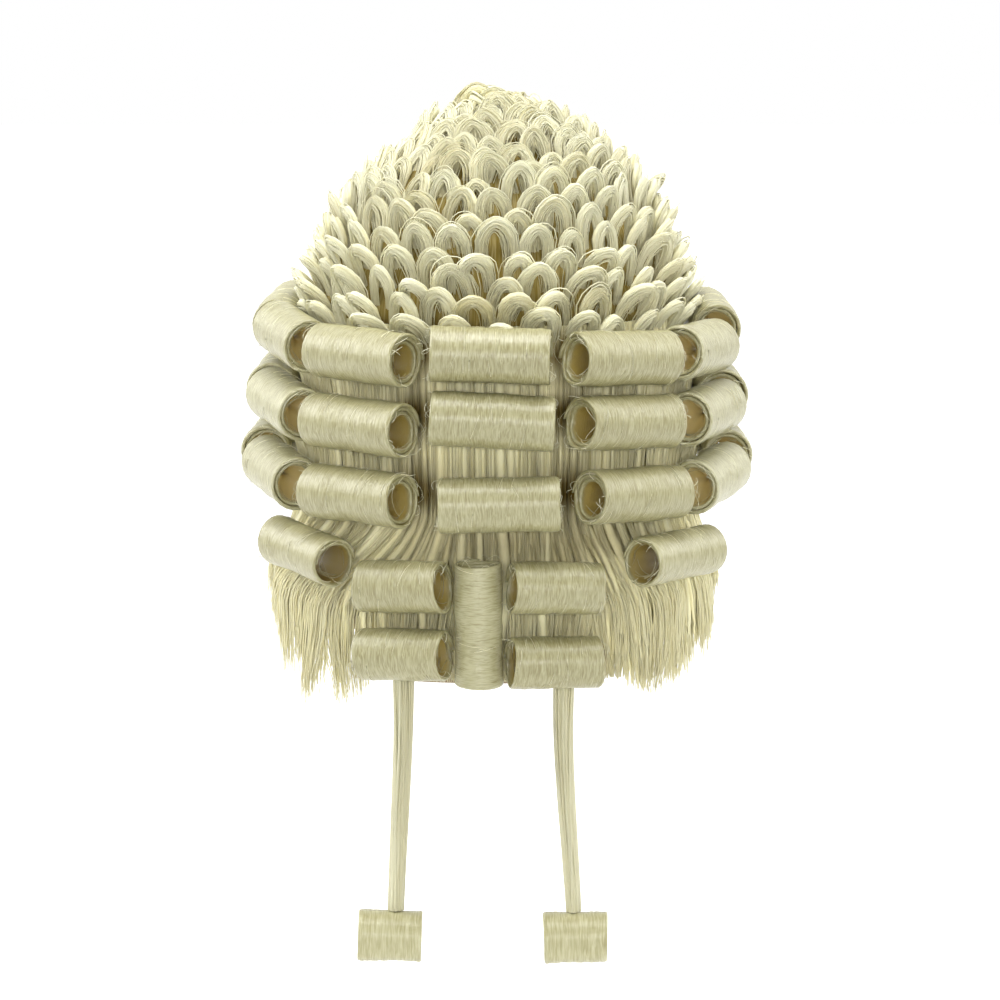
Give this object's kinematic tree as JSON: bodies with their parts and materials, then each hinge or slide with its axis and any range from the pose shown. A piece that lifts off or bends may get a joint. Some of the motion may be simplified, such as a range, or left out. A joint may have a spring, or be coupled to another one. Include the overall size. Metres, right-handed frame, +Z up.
{
  "type": "barrister wig",
  "caption": "Court wig of pale horsehair: a crown of looped locks over rows of rolled curls, a ragged fringe and thin tails with rolled ends; worn over the head.",
  "frame": {"origin": "inside the top of the cap, where the top of the wearer's head bears", "axes": "+Z up, +Y the way the wearer faces, +X to the wearer's right"},
  "size_m": [0.2305, 0.2256, 0.384],
  "materials": {
    "horsehair": "satin pale cream horsehair",
    "cap_net": "matt tan net and tape"
  },
  "bodies": {
    "root": {"cap": "cap_net", "crown": "horsehair", "hair_fringe": "horsehair", "curl_top_centre": "horsehair", "curl_top_left_1": "horsehair", "curl_top_left_2": "horsehair", "curl_top_left_3": "horsehair", "curl_top_right_1": "horsehair", "curl_top_right_2": "horsehair", "curl_top_right_3": "horsehair", "curl_middle_centre": "horsehair", "curl_middle_left_1": "horsehair", "curl_middle_left_2": "horsehair", "curl_middle_left_3": "horsehair", "curl_middle_right_1": "horsehair", "curl_middle_right_2": "horsehair", "curl_middle_right_3": "horsehair", "curl_low_centre": "horsehair", "curl_low_left_1": "horsehair", "curl_low_left_2": "horsehair", "curl_low_left_3": "horsehair", "curl_low_right_1": "horsehair", "curl_low_right_2": "horsehair", "curl_low_right_3": "horsehair", "curl_side_left": "horsehair", "curl_side_right": "horsehair", "curl_nape_upper_left": "horsehair", "curl_nape_upper_right": "horsehair", "curl_nape_lower_left": "horsehair", "curl_nape_lower_right": "horsehair", "curl_nape_upright": "horsehair", "tail_left": "horsehair", "tail_curl_left": "horsehair", "tail_right": "horsehair", "tail_curl_right": "horsehair"}
  },
  "joints": []
}
